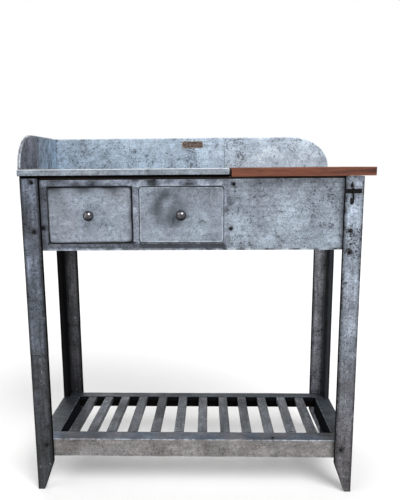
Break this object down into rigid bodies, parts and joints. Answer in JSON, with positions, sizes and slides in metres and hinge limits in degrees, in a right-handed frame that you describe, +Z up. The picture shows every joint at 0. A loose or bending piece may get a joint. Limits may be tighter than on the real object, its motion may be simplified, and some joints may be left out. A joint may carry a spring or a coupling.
{
  "type": "potting bench",
  "caption": "Zinc-clad garden potting bench with drawers, a compost bin under a sliding hardwood lid, a raised gallery, a tool hook and a slatted lower shelf.",
  "frame": {"origin": "middle of the bounding box on the floor", "axes": "+X to the right of a person who stands at the front, +Y to the back, +Z up"},
  "size_m": [0.918, 0.3902, 0.997],
  "materials": {
    "zinc_sheet": "aged zinc sheet, mottled grey, satin",
    "clad_board": "timber under thin aged zinc, mottled grey, satin",
    "timber": "sawn softwood, oiled",
    "hardwood": "reddish hardwood, oiled",
    "galvanised_liner": "galvanised steel, satin",
    "pewter": "dark pewter, rubbed bright on top",
    "forged_iron": "black forged iron, semi-matt",
    "dark_steel": "darkened steel",
    "copper_plate": "dull brown copper alloy"
  },
  "bodies": {
    "bench": {"apron_back": "clad_board", "apron_bottom_rail": "timber", "apron_left": "clad_board", "apron_right": "clad_board", "apron_sheet": "zinc_sheet", "apron_top_rail": "timber", "bin_floor": "timber", "bin_front_board": "timber", "bin_liner": "galvanised_liner", "bin_partition": "timber", "cladding_nails": "dark_steel", "drawer_divider": "timber", "drawer_runners": "timber", "gallery_back_board": "timber", "gallery_back_sheet": "zinc_sheet", "gallery_side_board": "timber", "gallery_side_sheet": "zinc_sheet", "hook_screws": "dark_steel", "left_stile": "timber", "leg_back_left": "timber", "leg_back_right": "timber", "leg_front_left": "timber", "leg_front_right": "timber", "leg_sheet_back_left": "zinc_sheet", "leg_sheet_back_right": "zinc_sheet", "leg_sheet_front_left": "zinc_sheet", "leg_sheet_front_right": "zinc_sheet", "lid_guides": "timber", "middle_stile": "timber", "name_plate": "copper_plate", "name_plate_pins": "copper_plate", "shelf_ledgers": "timber", "shelf_rail_back": "clad_board", "shelf_rail_front": "clad_board", "shelf_rail_left": "clad_board", "shelf_rail_right": "clad_board", "shelf_slats": "clad_board", "tool_hook": "forged_iron", "worktop_board": "timber", "worktop_sheet": "zinc_sheet"},
    "left_drawer": {"left_drawer_back": "timber", "left_drawer_bottom": "timber", "left_drawer_front": "timber", "left_drawer_left_side": "timber", "left_drawer_right_side": "timber", "left_drawer_sheet": "zinc_sheet", "left_knob": "pewter", "left_knob_screw": "dark_steel"},
    "right_drawer": {"right_drawer_back": "timber", "right_drawer_bottom": "timber", "right_drawer_front": "timber", "right_drawer_left_side": "timber", "right_drawer_right_side": "timber", "right_drawer_sheet": "zinc_sheet", "right_knob": "pewter", "right_knob_screw": "dark_steel"},
    "lid": {"lid_board": "hardwood", "lid_keepers": "hardwood", "lid_screws": "dark_steel"}
  },
  "joints": [
    {"name": "left_drawer_slide", "type": "slide", "parent": "bench", "child": "left_drawer", "axis": [0, -1, 0], "range_m": [0, 0.2]},
    {"name": "right_drawer_slide", "type": "slide", "parent": "bench", "child": "right_drawer", "axis": [0, -1, 0], "range_m": [0, 0.2]},
    {"name": "lid_slide", "type": "slide", "parent": "bench", "child": "lid", "axis": [1, 0, 0], "range_m": [0, 0.215]}
  ]
}
